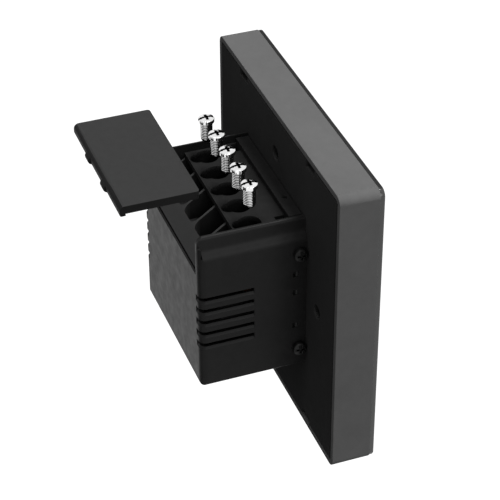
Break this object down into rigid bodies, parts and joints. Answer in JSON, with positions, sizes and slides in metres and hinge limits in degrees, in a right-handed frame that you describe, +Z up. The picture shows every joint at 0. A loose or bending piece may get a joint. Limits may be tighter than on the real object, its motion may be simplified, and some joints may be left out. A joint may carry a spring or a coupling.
{
  "type": "smart wall panel",
  "caption": "Square smart wall panel with a glass front, a thin rim, and a vented back box whose sloped terminal bays take mains wires, shown with terminal cover and screws lifted out.",
  "frame": {"origin": "centre of the wall-screw circle, on the plane of the mounting plate that meets the wall", "axes": "+X right seen from the front, +Y from the glass front towards the wall box, +Z up"},
  "size_m": [0.086, 0.0606, 0.086],
  "materials": {
    "rim_paint": "moulded rim with a fine satin grey finish",
    "cover_glass": "polished black-backed cover glass",
    "display_glass": "display cell",
    "pressed_steel": "pressed tinned sheet",
    "chassis_black": "fine-textured black moulding",
    "housing_black": "spark-textured black moulding",
    "terminal_black": "smooth flame-retardant moulding",
    "cover_black": "satin black moulding",
    "connector_black": "connector moulding",
    "board_green": "circuit board with green resist",
    "ribbon_amber": "polyimide ribbon",
    "zinc_screw": "zinc plated",
    "black_screw": "blackened screw",
    "clamp_steel": "black-passivated steel",
    "screw_chrome": "bright nickel plate",
    "relay_black": "moulded black relay case",
    "ferrite_grey": "sintered ferrite and wound tape",
    "can_sleeve": "can in a printed sleeve left plain",
    "film_box": "resin-filled box",
    "fuse_brown": "moulded drum",
    "choke_copper": "enamelled copper on a drum core",
    "chip_black": "moulded chip package"
  },
  "bodies": {
    "wall_unit": {"mounting_plate": "chassis_black", "box_housing": "housing_black", "terminal_block": "terminal_black", "link_socket": "connector_black", "power_board": "board_green", "power_board_screws": "zinc_screw", "box_screws": "black_screw", "terminal_clamp_1": "clamp_steel", "terminal_clamp_2": "clamp_steel", "terminal_clamp_3": "clamp_steel", "terminal_clamp_4": "clamp_steel", "terminal_clamp_5": "clamp_steel", "relay_1": "relay_black", "relay_2": "relay_black", "relay_3": "relay_black", "transformer": "ferrite_grey", "storage_capacitor": "can_sleeve", "film_capacitor": "film_box", "fuse": "fuse_brown", "choke": "choke_copper", "driver_chip": "chip_black"},
    "front_panel": {"front_bezel": "rim_paint", "front_glass": "cover_glass", "display_cell": "display_glass", "backlight_tray": "pressed_steel", "inner_chassis": "chassis_black", "main_board": "board_green", "shield_can": "pressed_steel", "radio_module": "board_green", "display_ribbon": "ribbon_amber", "link_plug": "connector_black", "main_board_screws": "zinc_screw"},
    "cover": {"terminal_cover": "cover_black"},
    "screw_1": {"terminal_screw_1": "screw_chrome"},
    "screw_2": {"terminal_screw_2": "screw_chrome"},
    "screw_3": {"terminal_screw_3": "screw_chrome"},
    "screw_4": {"terminal_screw_4": "screw_chrome"},
    "screw_5": {"terminal_screw_5": "screw_chrome"}
  },
  "joints": [
    {"name": "front_panel_release", "type": "slide", "parent": "wall_unit", "child": "front_panel", "axis": [0, -1, 0], "range_m": [0, 0.022]},
    {"name": "terminal_cover_close", "type": "slide", "parent": "wall_unit", "child": "cover", "axis": [0, -0.8143, -0.5804], "range_m": [0, 0.02308]},
    {"name": "terminal_screw_1_drive", "type": "slide", "parent": "wall_unit", "child": "screw_1", "axis": [0, 0, -1], "range_m": [0, 0.01545]},
    {"name": "terminal_screw_2_drive", "type": "slide", "parent": "wall_unit", "child": "screw_2", "axis": [0, 0, -1], "range_m": [0, 0.01545]},
    {"name": "terminal_screw_3_drive", "type": "slide", "parent": "wall_unit", "child": "screw_3", "axis": [0, 0, -1], "range_m": [0, 0.01545]},
    {"name": "terminal_screw_4_drive", "type": "slide", "parent": "wall_unit", "child": "screw_4", "axis": [0, 0, -1], "range_m": [0, 0.01545]},
    {"name": "terminal_screw_5_drive", "type": "slide", "parent": "wall_unit", "child": "screw_5", "axis": [0, 0, -1], "range_m": [0, 0.01545]}
  ],
  "couplings": [
    {"joint": "terminal_screw_1_drive", "follows": "terminal_cover_close", "ratio": 0.6694},
    {"joint": "terminal_screw_2_drive", "follows": "terminal_cover_close", "ratio": 0.6694},
    {"joint": "terminal_screw_3_drive", "follows": "terminal_cover_close", "ratio": 0.6694},
    {"joint": "terminal_screw_4_drive", "follows": "terminal_cover_close", "ratio": 0.6694},
    {"joint": "terminal_screw_5_drive", "follows": "terminal_cover_close", "ratio": 0.6694}
  ]
}
